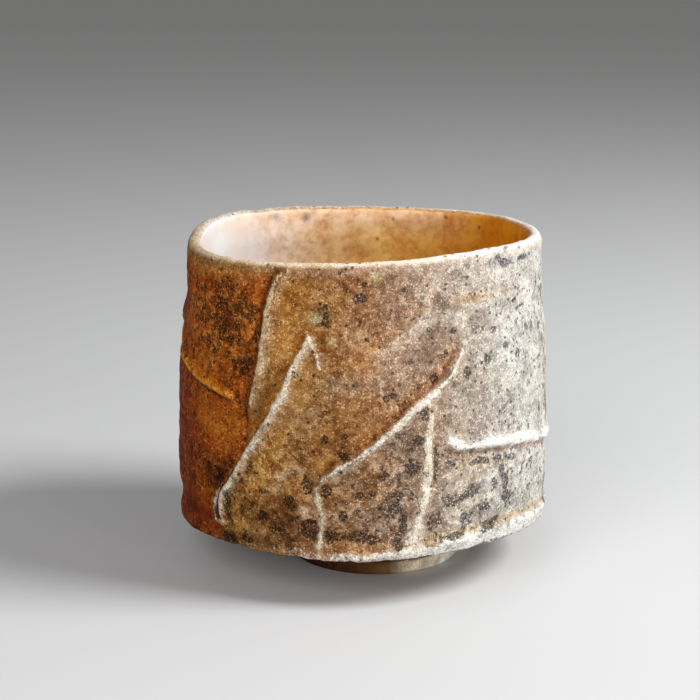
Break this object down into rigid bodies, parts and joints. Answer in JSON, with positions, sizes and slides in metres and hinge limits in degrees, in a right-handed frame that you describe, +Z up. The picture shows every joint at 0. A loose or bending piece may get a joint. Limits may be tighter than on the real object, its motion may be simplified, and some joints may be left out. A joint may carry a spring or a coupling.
{
  "type": "yunomi tea cup",
  "caption": "Handleless stoneware tea cup, rounded square in plan, on a small turned foot, with low ridges over its wall.",
  "frame": {"origin": "centre of the foot ring's resting face, on the table", "axes": "+Z up through the cup, -Y towards the pictured side, +X to that side's right"},
  "size_m": [0.089, 0.0886, 0.0783],
  "materials": {
    "fired_skin": "wood-fired stoneware skin, speckled, satin",
    "bare_clay": "bare fired clay, matt",
    "ash_edge": "pale ash-glazed edge, satin",
    "ash_ridge": "pale ash-glazed ridge, satin",
    "flashed_ridge": "orange flashed ridge, satin",
    "liner_glaze": "thin satin glaze"
  },
  "bodies": {
    "root": {"floor": "bare_clay", "wall": "fired_skin", "foot_ring": "bare_clay", "base_edge": "ash_edge", "liner_glaze": "liner_glaze", "ridge_rim_drop": "ash_ridge", "ridge_left_sweep": "ash_ridge", "ridge_fork_twig": "ash_ridge", "ridge_centre_sweep": "ash_ridge", "ridge_lower_left": "ash_ridge", "ridge_lower_right": "ash_ridge", "ridge_upper_soft": "ash_ridge", "ridge_right_belt": "ash_ridge", "ridge_left_belt": "flashed_ridge", "ridge_back_sweep": "ash_ridge", "ridge_back_drop": "ash_ridge", "ridge_back_belt": "flashed_ridge"}
  },
  "joints": []
}
